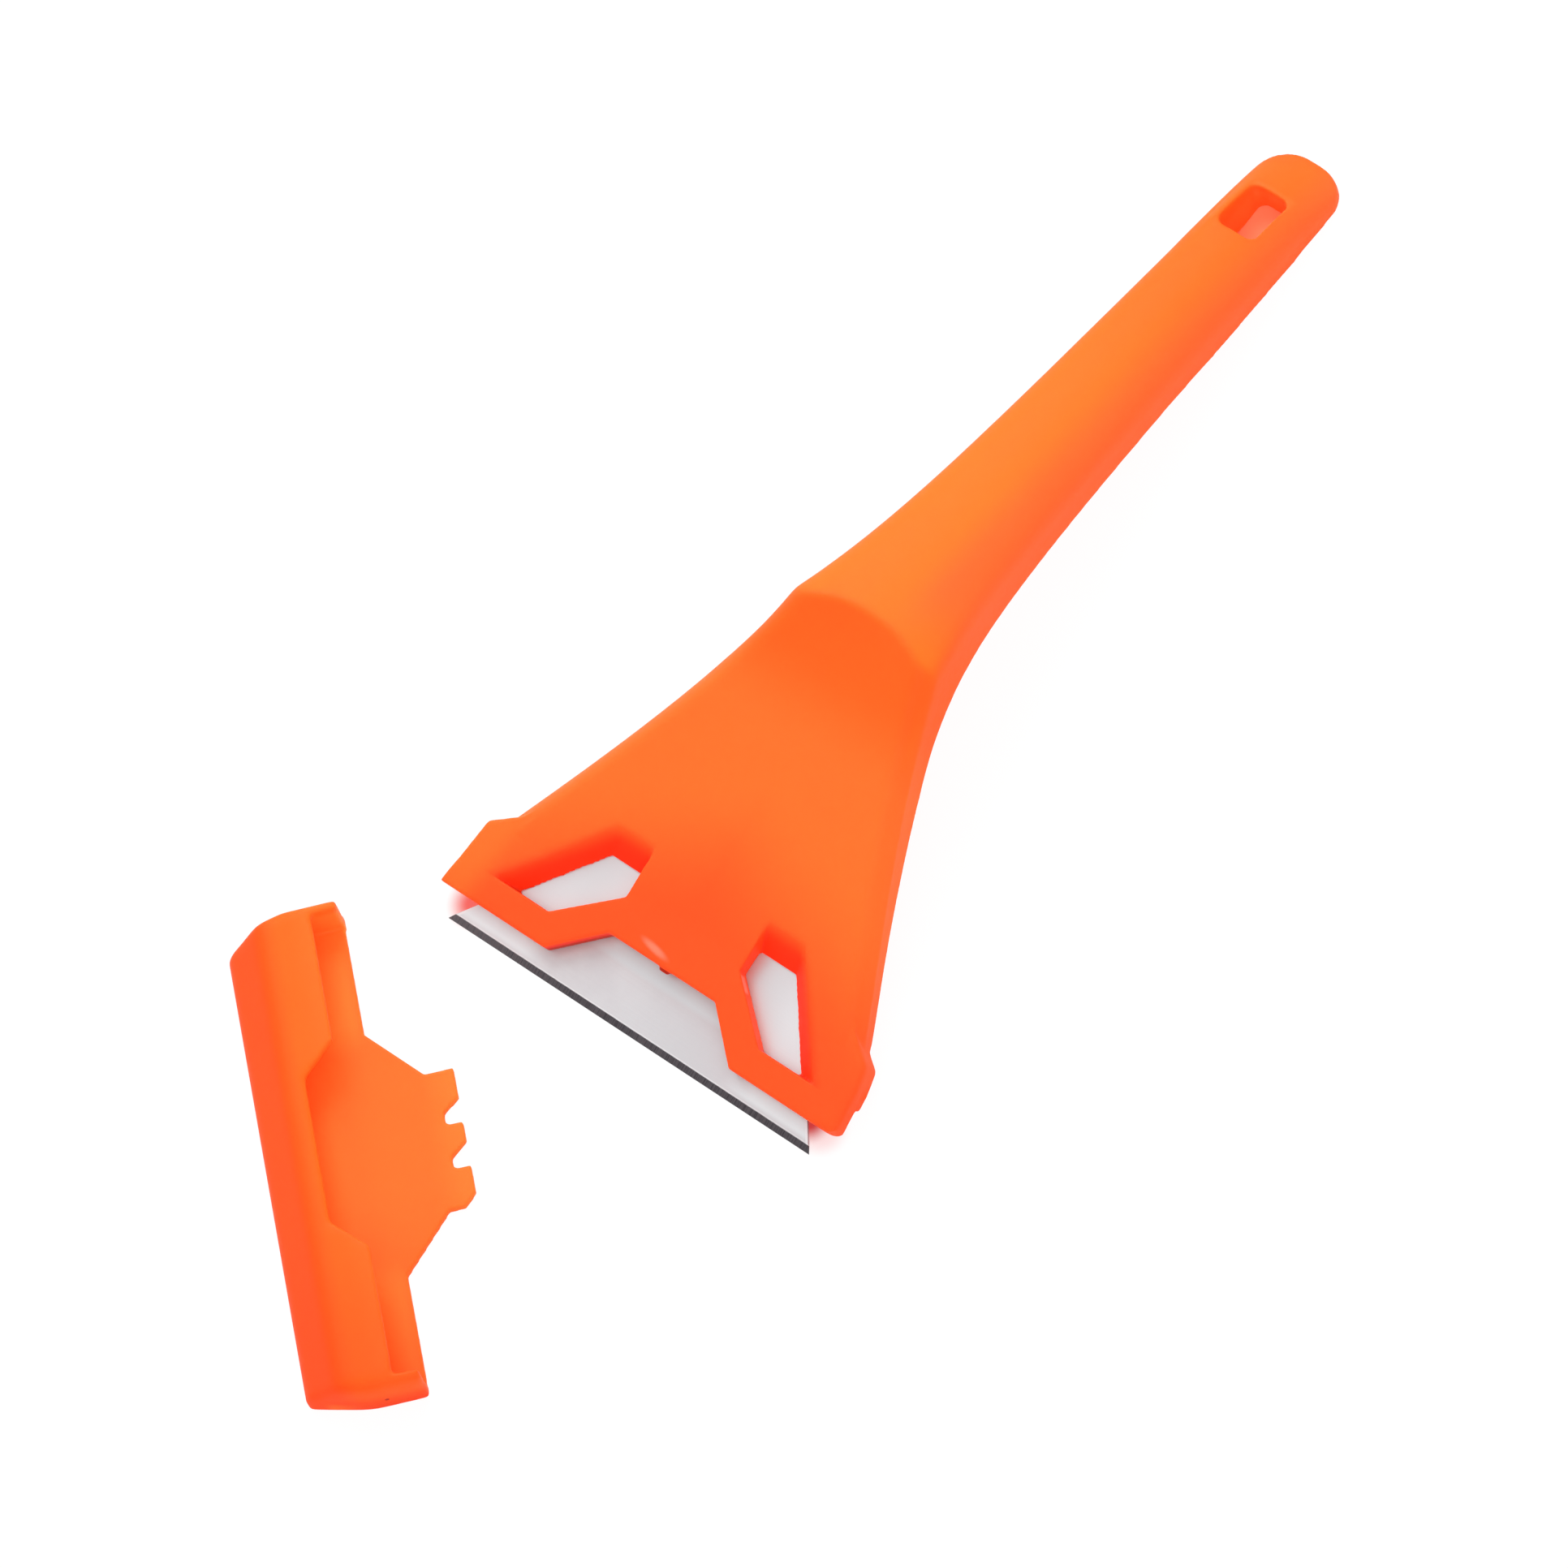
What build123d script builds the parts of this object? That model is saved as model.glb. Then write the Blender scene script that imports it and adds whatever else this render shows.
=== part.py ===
from build123d import *
from math import cos, exp, log, radians, sin, tan
import os

# Ceramic hob scraper, in millimetres: one moulded body, the trapezoid blade in its slot,
# and the blade cover taken off and lying in front. The handle runs along +Y and +Z is up.
# The origin is the middle of the cutting edge, where it touches the table.

# Blade, a standard trapezoid scraper blade
blade_length = 61.0
blade_back_length = 32.6
blade_depth = 19.0
blade_thickness = 0.6
bevel_depth = 1.0
edge_land = 0.08
blade_notch_spacing = 12.0
blade_notch_width = 3.0
blade_notch_depth = 2.2

# Slot that holds the blade, between the straps above and the shelves below
slot_play_up = 0.05
slot_play_side = 0.15
shelf_thickness = 1.4
strap_thickness = 2.95

# Front of the head, measured back from the cutting edge
head_tilt = 14.3
head_width = 66.4
strap_setback = 3.65
strap_width = 4.3
strap_edge_round = 0.4
mouth_front_width = 31.3
mouth_back_width = 17.9
mouth_depth = 6.3
tongue_strap_width = 5.15
ear_flank_length = 10.1
ear_taper = 1.1
ear_slope_width = 4.0
ear_slope_length = 2.9
ear_root_width = 2.0
ear_root_length = 3.0

# Vestige of the moulding gate, on the front of the tongue
gate_width = 1.5
gate_reach = 0.45
gate_place = 0.3

# Windows over the blade: wide at the outside, with sloping outer and back walls
window_inner_gap = 19.2
window_back = 18.5
window_back_width = 5.9
window_back_flare = 0.2
window_front_width = 5.9
window_front_inset = 2.1
window_outer_slope = 4.3
window_back_slope = 4.3
window_slope_height = 3.65

# Outline of the body seen from above: a tapered handle that flares out to the head
handle_width = 11.9
handle_taper = 1.5
head_root_width = 57.9
head_root = 16.3
neck_place = 55.6
neck_round = 12.0

# Side view of the body
body_length = 151.9
ridge_place = 59.0
ridge_height = 24.55
handle_fall = 12.4
tip_round = 12.5
tip_drop = 2.7
tip_corner = 4.9
underside_rise = 9.2
underside_touch_setback = 12.4
skirt_drop = 2.0
underside_bend = 1.5
shoulder_height = 4.2
crown_height = 1.4
crown_share = 0.78

# Top of the head: a gentle slope that turns up into the thumb ramp
head_slope = 0.09
ramp_height = 0.30
ramp_start = 56.3
ramp_length = 4.5
dish_depth = 0.25
scoop_depth = 0.45
scoop_length = 9.0
rim_radius = 3.2
rim_draft = 30.0
rim_foot = 6.0

# Hollow underside
wall = 2.2
hollow_front = 21.4
hollow_end_setback = 23.9
hollow_drop = 8.0
hollow_knee_share = 0.79
hollow_knee_rise = 0.7
hollow_crown_share = 0.31
hollow_crown_rise = 0.97
rib_thickness = 1.4
rib_first = 66.0
rib_pitch = 15.5
rib_count = 4

# Hang slot near the end of the handle
hang_width = 5.4
hang_length = 8.0
hang_corner = 1.3
hang_setback = 12.15

# Blade cover, lying on its lower leaf
cover_length = 70.0
cover_spine_length = 65.3
cover_height = 7.6
cover_wall = 1.2
cover_end_wall = 1.6
cover_end_bulge = 9.5
cover_end_bend = 7.0
cover_end_reach = 0.15
cover_end_round = 1.3
cover_spine_height = 2.4
cover_bevel = 5.2
cover_fold_round = 3.0
cover_lip_depth = 12.5
cover_lip_middle_depth = 8.05
cover_lip_cut_width = 20.9
cover_lip_cut_slope = 4.6
cover_leaf_depth = 15.9
cover_tab_root_width = 35.2
cover_tab_neck_width = 19.8
cover_tab_neck_depth = 22.85
cover_tab_depth = 26.7
cover_tab_corner = 1.7
cover_end_tooth_width = 4.2
cover_middle_tooth_width = 2.75
cover_gap_width = 3.65
cover_gap_depth = 2.3
cover_gap_slant = 1.85
cover_gap_round = 0.8
cover_centre_x = -26.68
cover_centre_y = -43.3
cover_turn = -41.95

# Reach of the shapes that the body is cut from, past its own ends
blank_front = 13.0
ramp_front = 8.0
ramp_back = 69.0
far = 60.0

# Worked-out places
tilt = radians(head_tilt)
underside_touch = body_length - underside_touch_setback
hollow_end = body_length - hollow_end_setback
hang_place = body_length - hang_setback
slot_half = blade_thickness / 2 + slot_play_up
strap_top = slot_half + strap_thickness
shelf_bottom = -slot_half - shelf_thickness


def on_head(shape):
    """Tilts a shape from the flat blade plane into its place on the table."""
    return Location((0, 0, 0), (head_tilt, 0, 0)) * shape


def mirrored(points):
    """Closes a right-hand half outline with its mirror image."""
    return points + [(-x, y) for x, y in reversed(points)]


def prism(points, low, high):
    """Upright prism over an outline, from one height to another."""
    return Pos(0, 0, low) * extrude(make_face(Polyline(*points, close=True)), high - low)


def even_places(start, end, count):
    return [start + (end - start) * i / (count - 1) for i in range(count)]


def handle_half(y):
    return handle_width / 2 + (body_length - y) * tan(radians(handle_taper))


def flare_share(y):
    """Widening towards the head: none along the handle, steady in front of the neck."""
    return log(1 + exp((neck_place - y) / neck_round))


def half_width(y):
    """Half the width of the body at a distance from the cutting edge."""
    reach = (head_root_width / 2 - handle_half(head_root)) / flare_share(head_root)
    return handle_half(y) + reach * flare_share(y)


def handle_top(y):
    """Height of the handle's top line, which curves down towards the tip."""
    line = ridge_height - (y - ridge_place) * tan(radians(handle_fall))
    past = max(0.0, y - (body_length - tip_round)) / tip_round
    return line - tip_drop * past**2


def underside(y):
    """Height of the underside: up along the head, a soft bend, down along the handle."""
    head_line = y * tan(tilt) - skirt_drop / cos(tilt)
    handle_line = (underside_touch - y) * tan(radians(underside_rise))
    blend = exp(-head_line / underside_bend) + exp(-handle_line / underside_bend)
    return -underside_bend * log(blend)


def head_top(y):
    """Height of the head's top above the blade plane, down the middle."""
    ramp = ramp_height * exp((y - ramp_start) / ramp_length)
    return strap_top + head_slope * (y - head_root) + ramp


def across(y, outline):
    """Face that stands across the handle at a distance from the cutting edge."""
    plane = Plane(origin=(0, y, 0), x_dir=(1, 0, 0), z_dir=(0, -1, 0))
    return plane * make_face(outline)


def body_section(y):
    """Upright cross-section of the body: flat bottom, straight sides and an arched top."""
    half = half_width(y)
    top = handle_top(y)
    low = underside(y)
    arch = min(shoulder_height, 0.6 * (top - low))
    side = top - arch
    knee = side + 0.8 * arch * (1 - crown_height / shoulder_height)
    edges = [
        Line((-half, low), (half, low)),
        Line((half, low), (half, side)),
        Bezier((half, side), (half, knee), (crown_share * half, top), (0, top)),
        Bezier((0, top), (-crown_share * half, top), (-half, knee), (-half, side)),
        Line((-half, side), (-half, low)),
    ]
    return across(y, edges)


def hollow_section(y):
    """Cross-section of the hollow: a many-sided arch, a wall's thickness inside the body's."""
    half = half_width(y) - wall
    top = handle_top(y) - wall
    low = underside(y) - hollow_drop
    arch = min(shoulder_height, 0.6 * (top - low))
    side = top - arch
    outline = mirrored([
        (half, low),
        (half, side),
        (hollow_knee_share * half, side + hollow_knee_rise * arch),
        (hollow_crown_share * half, side + hollow_crown_rise * arch),
    ])
    return across(y, Polyline(*outline, close=True))


def rim_half(y, height):
    """Half the width of the head at a place in the blade's tilted plane."""
    return half_width(y * cos(tilt) - height * sin(tilt))


def above_head_section(y):
    """Space above the head's dished top, down over its rounded rims."""
    middle = head_top(y)
    ramp_share = min(1.0, exp((y - ridge_place) / scoop_length))
    edge = middle + dish_depth + scoop_depth * ramp_share
    half = rim_half(y, middle)
    lean = radians(rim_draft)
    top_x = half - rim_radius
    side_x = half - 0.22 * rim_radius
    side_z = edge - 0.41 * rim_radius
    wall_z = edge - 0.8 * rim_radius
    foot_x = half + rim_foot * tan(lean)
    foot_z = wall_z - rim_foot
    edges = [
        ThreePointArc((-top_x, edge), (0, middle), (top_x, edge)),
        Bezier((top_x, edge), (top_x + 0.45 * rim_radius, edge), (side_x, side_z), (half, wall_z)),
        Polyline((half, wall_z), (foot_x, foot_z), (far, foot_z), (far, far), (-far, far),
                 (-far, foot_z), (-foot_x, foot_z), (-half, wall_z)),
        Bezier((-half, wall_z), (-side_x, side_z), (-top_x - 0.45 * rim_radius, edge),
               (-top_x, edge)),
    ]
    return across(y, edges)


def above_hollow_section(y):
    """Space above the hollow under the head: a flat ceiling with sloping shoulders."""
    ceiling = head_top(y) - wall
    half = rim_half(y, ceiling) - wall
    outline = mirrored([
        (half - rim_radius, ceiling),
        (half, ceiling - rim_radius),
        (half, -far),
        (2 * far, -far),
        (2 * far, far),
    ])
    return across(y, Polyline(*outline, close=True))


def above_head(section, count):
    """Everything above the head's top and the thumb ramp, lofted from sections."""
    places = even_places(ramp_front, ramp_back, count)
    return on_head(loft([section(y) for y in places]))


def head_outline():
    """Right-hand half of the head's front: mouth, strap and ear."""
    ear_front = strap_setback
    ear_back = ear_front + ear_flank_length
    ear_half = head_width / 2 - ear_taper
    slope_half = ear_half - ear_slope_width
    slope_back = ear_back + ear_slope_length
    return [
        (mouth_back_width / 2, strap_setback + mouth_depth),
        (mouth_front_width / 2, strap_setback),
        (head_width / 2, ear_front),
        (ear_half, ear_back),
        (slope_half, slope_back),
        (slope_half - ear_root_width, slope_back + ear_root_length),
    ]


def head_plate():
    """Front of the head, with its top edges rounded."""
    plate = prism(mirrored(head_outline()), shelf_bottom, strap_top)
    top_edges = plate.faces().sort_by(Axis.Z)[-1].edges().sort_by(Axis.Y)
    return on_head(fillet(top_edges[:-3], strap_edge_round))


def gate_vestige():
    """Stub left on the front of the tongue, just under its top edge."""
    stub = Cylinder(gate_width / 2, 2 * gate_reach, rotation=(90, 0, 0))
    place = (gate_place, strap_setback + mouth_depth, strap_top - gate_width / 2 - strap_edge_round)
    return on_head(Pos(*place) * stub)


def blade_outline(gap):
    """Blade seen flat, grown by a gap all round."""
    slant = (blade_length - blade_back_length) / 2 / blade_depth
    back = blade_depth + gap
    front_half = blade_length / 2 + gap
    back_half = front_half - slant * back
    return mirrored([(front_half + slant * far, -far), (back_half, back)])


def window_outline(rise):
    """Right-hand window at a height above the blade, given as a share of its slope height."""
    inner = window_inner_gap / 2
    front = strap_setback + strap_width
    front_inner = mouth_front_width / 2 + window_front_inset
    tongue = strap_setback + mouth_depth + tongue_strap_width
    slope = window_outer_slope * rise
    back = window_back + window_back_slope * rise
    return [
        (inner, tongue),
        (inner, back),
        (inner + window_back_width + window_back_flare * rise, back),
        (front_inner + window_front_width + slope, front),
        (front_inner, front),
    ]


def window_cut():
    """Window from the shelf up through the head, with its walls opening outwards."""
    low = Plane.XY.offset(slot_half) * make_face(Polyline(*window_outline(0.0), close=True))
    high_z = slot_half + 2 * window_slope_height
    high = Plane.XY.offset(high_z) * make_face(Polyline(*window_outline(2.0), close=True))
    right = loft([low, high], ruled=True)
    return on_head(right + mirror(right, Plane.YZ))


def strap_underside_cut():
    """Opening below the straps and the tongue, where the blade shows from underneath."""
    inner = window_inner_gap / 2
    front = strap_setback + strap_width
    points = [
        (far, -far),
        (far, front),
        (mouth_front_width / 2 + window_front_inset, front),
        (inner, strap_setback + mouth_depth + tongue_strap_width),
        (inner, blade_depth + slot_play_side),
    ]
    return on_head(prism(mirrored(points), -far, -slot_half))


def body_hollow():
    """Hollow under the head and the handle, a wall's thickness inside the body."""
    places = even_places(blank_front + wall, hollow_end, 10)
    hollow = loft([hollow_section(y) for y in places])
    hollow -= above_head(above_hollow_section, 9)
    front = on_head(Pos(0, hollow_front - far, 0) * Box(2 * far, 2 * far, 4 * far))
    return hollow - front


def rib_plates():
    """Middle rib under the head and cross ribs along the handle."""
    middle_length = rib_first - hollow_front * cos(tilt)
    plates = Pos(0, rib_first - middle_length / 2, far / 2) * Box(rib_thickness, middle_length, far)
    for i in range(rib_count):
        plates += Pos(0, rib_first + rib_pitch * i, far / 2) * Box(handle_width * 2, rib_thickness, far)
    return plates


def tip_reach():
    """Outline that rounds the end of the handle, seen from above."""
    corner_place = body_length - tip_corner
    reach = Pos(0, corner_place / 2, 0) * Box(2 * far, corner_place, 4 * far)
    end = RectangleRounded(2 * half_width(corner_place), 4 * tip_corner, tip_corner)
    return reach + extrude(Pos(0, body_length - 2 * tip_corner, 0) * end, 2 * far, both=True)


def build_body():
    """Moulded body: head with straps, windows, ramp and handle."""
    places = even_places(blank_front, body_length - tip_round, 13)
    places += even_places(body_length - tip_round / 2, body_length + tip_corner / 8, 2)
    solid = loft([body_section(y) for y in places]) - above_head(above_head_section, 11)
    solid = solid & tip_reach()
    hollow = body_hollow()
    ribs = rib_plates() & solid
    body = solid - hollow + ribs
    body += head_plate()
    body += gate_vestige()
    body -= on_head(prism(blade_outline(slot_play_side), -slot_half, slot_half))
    body -= strap_underside_cut()
    body -= window_cut()
    hang_hole = Pos(0, hang_place, 0) * RectangleRounded(hang_width, hang_length, hang_corner)
    body -= extrude(hang_hole, far, both=True)
    body -= Pos(0, 0, -far) * Box(8 * far, 8 * far, 2 * far)
    return body


def build_blade():
    """Blade with a bevel on both faces and two locating notches in its back edge."""
    half = blade_thickness / 2
    profile = [(0, 0), (bevel_depth, -half), (blade_depth, -half), (blade_depth, half),
               (bevel_depth, half), (0, edge_land)]
    section = Plane.YZ * make_face(Polyline(*profile, close=True))
    blade = extrude(section, blade_length, both=True)
    blade &= prism(blade_outline(0.0), -blade_thickness, blade_thickness)
    for side in (-1, 1):
        notch = SlotCenterToCenter(2 * blade_notch_depth, blade_notch_width, rotation=90)
        place = (side * blade_notch_spacing / 2, blade_depth + blade_notch_width / 2, 0)
        blade -= Pos(*place) * extrude(notch, blade_thickness, both=True)
    return on_head(blade)


def cover_section():
    """Side view of the cover's outside: spine, bevel and top, with soft folds between them."""
    outline = Polyline((0, 0), (0, cover_spine_height), (cover_bevel, cover_height),
                       (far, cover_height), (far, 0), close=True)
    section = make_face(outline)
    folds = section.vertices().filter_by(lambda corner: corner.Y > 0 and corner.X < far)
    return fillet(folds, cover_fold_round)


def cover_plan(depth, inset):
    """Cover seen from above: its ends curve in towards the spine."""
    spine = cover_spine_length / 2 - inset
    end = cover_length / 2 - inset
    edges = [
        Line((-spine, 0), (spine, 0)),
        Bezier((spine, 0), (end, cover_end_bend), (end, cover_end_bulge)),
        Polyline((end, cover_end_bulge), (end, depth), (-end, depth), (-end, cover_end_bulge)),
        Bezier((-end, cover_end_bulge), (-end, cover_end_bend), (-spine, 0)),
    ]
    return make_face(edges)


def cover_channel():
    """Folded channel, closed at both ends, with the end walls a little longer than the leaf."""
    section = cover_section()
    outer = extrude(Plane.YZ * section, far, both=True)
    outer &= extrude(cover_plan(cover_leaf_depth + cover_end_reach, 0.0), cover_height)
    end_edges = outer.edges().filter_by(lambda edge: abs(edge.center().X) > cover_length / 4)
    rims = end_edges.filter_by(lambda edge: edge.center().Z > 0.1 * cover_height)
    rims = rims.filter_by(lambda edge: edge.center().Y < cover_leaf_depth)
    outer = fillet(rims, cover_end_round)
    inner = extrude(Plane.YZ * offset(section, -cover_wall), far, both=True)
    inner &= extrude(cover_plan(far, cover_end_wall), cover_height)
    return outer - inner


def lip_cut():
    """What the upper leaf leaves open, from its cut-back edge forwards."""
    end = cover_length / 2 - cover_end_wall
    return prism(mirrored([
        (end, far),
        (end, cover_lip_depth),
        (cover_lip_cut_width / 2 + cover_lip_cut_slope, cover_lip_depth),
        (cover_lip_cut_width / 2, cover_lip_middle_depth),
    ]), cover_wall, cover_height)


def leaf_cut():
    """Space between the end walls, past the edge of the lower leaf."""
    end = cover_length / 2 - cover_end_wall
    return prism(mirrored([(end, far), (end, cover_leaf_depth)]), 0, cover_height)


def cover_tab():
    """Toothed tab that reaches out from the lower leaf, with one corner cut off."""
    root = cover_tab_root_width / 2
    neck = cover_tab_neck_width / 2
    tab = prism([
        (root, cover_leaf_depth - cover_wall),
        (root, cover_leaf_depth),
        (neck, cover_tab_neck_depth),
        (neck, cover_tab_depth - cover_tab_corner),
        (neck - cover_tab_corner, cover_tab_depth),
        (-neck, cover_tab_depth),
        (-neck, cover_tab_neck_depth),
        (-root, cover_leaf_depth),
        (-root, cover_leaf_depth - cover_wall),
    ], 0, cover_wall)
    first = cover_end_tooth_width - neck
    second = first + cover_gap_width + cover_middle_tooth_width
    for start in (first, second):
        tab -= Pos(start, cover_tab_depth, 0) * tooth_gap()
    return tab


def tooth_gap():
    """Gap between two teeth: one side slants, the other is straight, and the bottom is round."""
    outline = Polyline((0, cover_gap_depth), (0, 0), (cover_gap_slant, -cover_gap_depth),
                       (cover_gap_width, -cover_gap_depth), (cover_gap_width, cover_gap_depth),
                       close=True)
    face = make_face(outline)
    face = fillet(face.vertices().sort_by(Axis.Y)[:2], cover_gap_round)
    return extrude(face, cover_wall)


def build_cover():
    """Blade cover: a channel with end walls, a cut-back lip and a toothed leaf."""
    cover = cover_channel() - lip_cut() - leaf_cut() + cover_tab()
    return Location((cover_centre_x, cover_centre_y, 0), (0, 0, cover_turn)) * cover


os.makedirs("parts", exist_ok=True)
nodes = {
    "scraper_body": build_body(),
    "blade": build_blade(),
    "blade_cover": build_cover(),
}
for name, shape in nodes.items():
    export_step(shape, f"parts/{name}.step")
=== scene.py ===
from math import cos, radians, sin

import bmesh
import bpy
import numpy
from mathutils import Matrix, Vector


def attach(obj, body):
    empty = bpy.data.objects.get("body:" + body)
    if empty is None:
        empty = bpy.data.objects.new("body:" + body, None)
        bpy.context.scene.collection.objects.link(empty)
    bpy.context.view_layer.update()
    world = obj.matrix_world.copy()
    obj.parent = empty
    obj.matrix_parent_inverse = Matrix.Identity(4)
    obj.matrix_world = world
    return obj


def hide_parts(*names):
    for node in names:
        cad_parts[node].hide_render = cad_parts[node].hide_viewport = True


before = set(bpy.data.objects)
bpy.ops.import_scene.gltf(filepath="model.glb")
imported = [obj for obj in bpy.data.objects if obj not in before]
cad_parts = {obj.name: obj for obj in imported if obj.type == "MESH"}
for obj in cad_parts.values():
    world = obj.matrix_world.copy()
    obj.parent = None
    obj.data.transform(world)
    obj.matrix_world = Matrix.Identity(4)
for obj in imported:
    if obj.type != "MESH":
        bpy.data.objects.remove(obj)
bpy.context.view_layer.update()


# camera, as the photograph looks down on the pair from the blade end
camera = {
    "aim": (-0.00316, 0.03913, 0.00384),
    "distance": 1.6,
    "heading": 57.95,
    "tilt": 26.36,
    "roll": -22.31,
    "lens": 279.0,
    "sensor": 36,
    "nearest": 0.05,
    "farthest": 20,
}


def addCamera(settings):
    turn = Matrix.Rotation(radians(settings["heading"]), 4, "Z")
    turn = turn @ Matrix.Rotation(radians(settings["tilt"]), 4, "X")
    turn = turn @ Matrix.Rotation(radians(settings["roll"]), 4, "Z")
    place = Vector(settings["aim"]) + turn @ Vector((0, 0, settings["distance"]))
    data = bpy.data.cameras.new("photoCamera")
    data.lens = settings["lens"]
    data.sensor_width = settings["sensor"]
    data.clip_start = settings["nearest"]
    data.clip_end = settings["farthest"]
    view = bpy.data.objects.new("photoCamera", data)
    view.matrix_world = Matrix.Translation(place) @ turn
    bpy.context.scene.collection.objects.link(view)
    bpy.context.scene.camera = view


addCamera(camera)
bpy.context.scene.view_settings.view_transform = "Standard"
print("camera placed")


class Wire:
    # a shader socket that can stand in sums
    def __init__(self, tree, socket=None):
        self.tree = tree
        self.socket = socket

    def node(self, kind, settings={}, inputs={}, output=0):
        made = self.tree.nodes.new(kind)
        for name, value in settings.items():
            setattr(made, name, value)
        for name, value in inputs.items():
            if isinstance(value, Wire):
                self.tree.links.new(value.socket, made.inputs[name])
            else:
                made.inputs[name].default_value = value
        return Wire(self.tree, made.outputs[output])

    def maths(self, operation, first, second=0.0):
        return self.node("ShaderNodeMath", {"operation": operation}, {0: first, 1: second})

    def __add__(self, other):
        return self.maths("ADD", self, other)

    def __sub__(self, other):
        return self.maths("SUBTRACT", self, other)

    def __rsub__(self, other):
        return self.maths("SUBTRACT", other, self)

    def __mul__(self, other):
        return self.maths("MULTIPLY", self, other)

    def __abs__(self):
        return self.maths("ABSOLUTE", self)

    __radd__ = __add__
    __rmul__ = __mul__

    def larger(self, other):
        return self.maths("MAXIMUM", self, other)

    def past(self, span):
        # 0 up to the start of the span, 1 from its end on, soft in between
        return self.node("ShaderNodeMapRange", {"interpolation_type": "SMOOTHSTEP"},
                         {"Value": self, "From Min": span[0], "From Max": span[1]})

    def before(self, span):
        return 1 - self.past(span)

    def within(self, start, end):
        return self.past(start) * self.before(end)

    def blend(self, first, second):
        # a colour between two, with this wire as the share of the second
        return self.node("ShaderNodeMix", {"data_type": "RGBA"}, {0: self, 6: first, 7: second}, 2)


def newMaterial(name):
    material = bpy.data.materials.new(name)
    material.use_nodes = True
    tree = material.node_tree
    tree.nodes.clear()
    out = tree.nodes.new("ShaderNodeOutputMaterial")
    return material, tree, out


def objectPlace(tree):
    return Wire(tree).node("ShaderNodeTexCoord", {}, {}, "Object")


def noise(place, scale, detail=2.0, roughness=0.5):
    return place.node("ShaderNodeTexNoise", {}, {
        "Vector": place, "Scale": scale, "Detail": detail, "Roughness": roughness})


def stretched(place, scale, turn=(0, 0, 0)):
    return place.node("ShaderNodeMapping", {}, {"Vector": place, "Scale": scale, "Rotation": turn})


def framed(place, centre, turn, scale=(1, 1, 1)):
    # the place as seen from a centre, turned about the upright by an angle in radians
    return place.node("ShaderNodeMapping", {"vector_type": "TEXTURE"}, {
        "Vector": place, "Location": centre, "Rotation": (0, 0, turn), "Scale": scale})


def bumps(height, relief, under=None):
    strength, distance = relief
    inputs = {"Strength": strength, "Distance": distance, "Height": height}
    return height.node("ShaderNodeBump", {}, {**inputs, "Normal": under} if under else inputs)


def parts(place):
    return [place.node("ShaderNodeSeparateXYZ", {}, {"Vector": place}, axis) for axis in "XYZ"]


headTilt = radians(14.3)  # the blade's lean from the table


def flatPlace(tree):
    # place in the blade's own plane: x along the edge, y back from it, z above the steel
    return Wire(tree).node("ShaderNodeMapping", {"vector_type": "POINT"}, {
        "Vector": objectPlace(tree), "Rotation": (-headTilt, 0, 0)})


# orange plastic: what the body and the cover share; noises are scale, detail and roughness
orange = {
    "flow": (45, 3.0),
    "moulding": (900, 4.0, 0.6),
    "fleck": (420, 2.0),
    "rubbing": (260, 3.0),
    "waves": (160, 1.0),
    "scuffStretch": (1400, 90, 1400),
    "scuffTurn": (0, 0, 0.5),
    "scuffNoise": (1.0, 3.0, 0.7),
    "scuffSpan": (0.60, 0.75),
    "wearSpan": (0.15, 0.75),
    "flowDepth": 0.10,
    "fleckDepth": 0.04,
    "worn": (1.0, 0.26, 0.06, 1),
    "wornShare": 0.22,
    "roughness": 0.46,
    "flowRoughness": 0.10,
    "mouldingRoughness": 0.12,
    "scuffRoughness": 0.07,
    "wornRoughness": 0.08,
    "mouldingRelief": (0.10, 0.00012),
    "waveRelief": (0.08, 0.0005),
    "gloss": 0.10,
    "light": 0.25,
    "lightRadius": (1.0, 0.16, 0.06),
    "lightDepth": 0.0030,
    # the glow is emission, painted red light that fills the plastic's shade
    "glow": (1.0, 0.045, 0.006, 1),
    "glowStrength": 0.28,
}


def plasticMaterial(made, tone, place, settings):
    material, tree, out = made
    flow = noise(place, *settings["flow"])  # slow change of tone where the melt flowed
    grain = noise(place, *settings["moulding"])  # fine surface of the mould
    scuffs = stretched(place, settings["scuffStretch"], settings["scuffTurn"])
    scuffs = noise(scuffs, *settings["scuffNoise"]).past(settings["scuffSpan"])
    fleck = noise(place, *settings["fleck"])
    wear = place.node("ShaderNodeAttribute", {"attribute_name": "edgeWear"}, {}, "Fac")
    wear = (wear * noise(place, *settings["rubbing"])).past(settings["wearSpan"])
    shade = 1 + (flow - 0.5) * settings["flowDepth"] + (fleck - 0.5) * settings["fleckDepth"]
    tone = tone.node("ShaderNodeVectorMath", {"operation": "SCALE"}, {0: tone, "Scale": shade})
    tone = (wear * settings["wornShare"]).blend(tone, settings["worn"])
    rough = settings["roughness"] + (flow - 0.5) * settings["flowRoughness"]
    rough = rough + (grain - 0.5) * settings["mouldingRoughness"]
    rough = rough + scuffs * settings["scuffRoughness"] + wear * settings["wornRoughness"]
    relief = bumps(grain, settings["mouldingRelief"])
    relief = bumps(noise(place, *settings["waves"]), settings["waveRelief"], relief)
    plastic = place.node("ShaderNodeBsdfPrincipled", {}, {
        "Base Color": tone, "Roughness": rough, "Normal": relief,
        "Specular IOR Level": settings["gloss"],
        "Subsurface Weight": settings["light"], "Subsurface Radius": settings["lightRadius"],
        "Subsurface Scale": settings["lightDepth"],
        "Emission Color": settings["glow"], "Emission Strength": settings["glowStrength"],
    })
    tree.links.new(plastic.socket, out.inputs["Surface"])
    return material
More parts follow.
